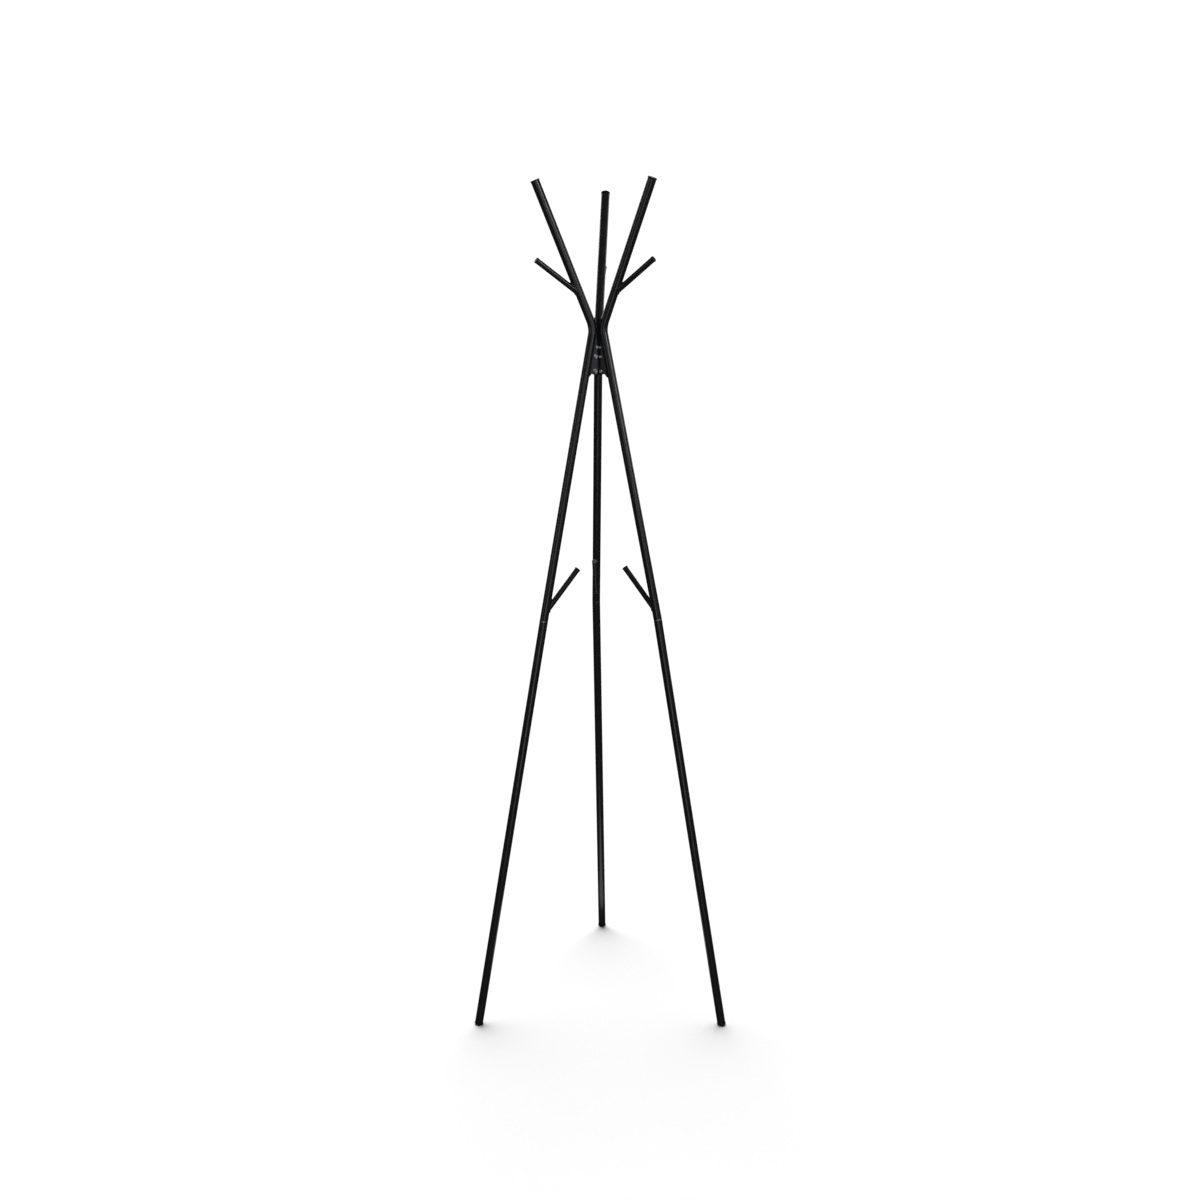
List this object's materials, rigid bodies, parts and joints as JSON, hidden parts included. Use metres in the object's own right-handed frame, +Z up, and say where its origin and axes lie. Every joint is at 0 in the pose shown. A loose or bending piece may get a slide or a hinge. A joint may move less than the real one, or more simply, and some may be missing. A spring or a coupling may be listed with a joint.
{
  "type": "coat stand",
  "caption": "Free-standing tubular steel stand whose bent legs meet at a bolted waist and open into upright arms with branch hooks, for hanging coats, hats and bags.",
  "frame": {"origin": "on the floor, at the middle of the footprint box; the upright axis of the stand, where the three waist plates meet, is at x = 1.7 mm, y = -71.9 mm", "axes": "+Z up; +Y towards the rear leg, away from the viewer; +X to the right, so the left and right legs stand towards -Y"},
  "size_m": [0.5273, 0.4622, 1.7044],
  "materials": {
    "powder_coat": "satin black powder coat on steel, with a fine orange-peel texture",
    "black_plastic": "moulded black plastic plugs, slightly glossy rim",
    "foot_plastic": "moulded black plastic feet, dull and lightly scuffed underneath",
    "zinc_plate": "bright zinc-plated steel fasteners, studs and bushes"
  },
  "bodies": {
    "root": {"left_upper_tube": "powder_coat", "left_lower_tube": "powder_coat", "left_waist_plate": "powder_coat", "left_top_hook": "powder_coat", "left_low_hook": "powder_coat", "left_joint_stud": "zinc_plate", "left_joint_bush": "zinc_plate", "left_arm_cap": "black_plastic", "left_top_hook_cap": "black_plastic", "left_low_hook_cap": "black_plastic", "left_foot": "foot_plastic", "right_upper_tube": "powder_coat", "right_lower_tube": "powder_coat", "right_waist_plate": "powder_coat", "right_top_hook": "powder_coat", "right_low_hook": "powder_coat", "right_joint_stud": "zinc_plate", "right_joint_bush": "zinc_plate", "right_arm_cap": "black_plastic", "right_top_hook_cap": "black_plastic", "right_low_hook_cap": "black_plastic", "right_foot": "foot_plastic", "rear_upper_tube": "powder_coat", "rear_lower_tube": "powder_coat", "rear_waist_plate": "powder_coat", "rear_top_hook": "powder_coat", "rear_low_hook": "powder_coat", "rear_joint_stud": "zinc_plate", "rear_joint_bush": "zinc_plate", "rear_arm_cap": "black_plastic", "rear_top_hook_cap": "black_plastic", "rear_low_hook_cap": "black_plastic", "rear_foot": "foot_plastic", "waist_bolts": "zinc_plate", "waist_washers": "zinc_plate", "waist_nuts": "zinc_plate"}
  },
  "joints": []
}
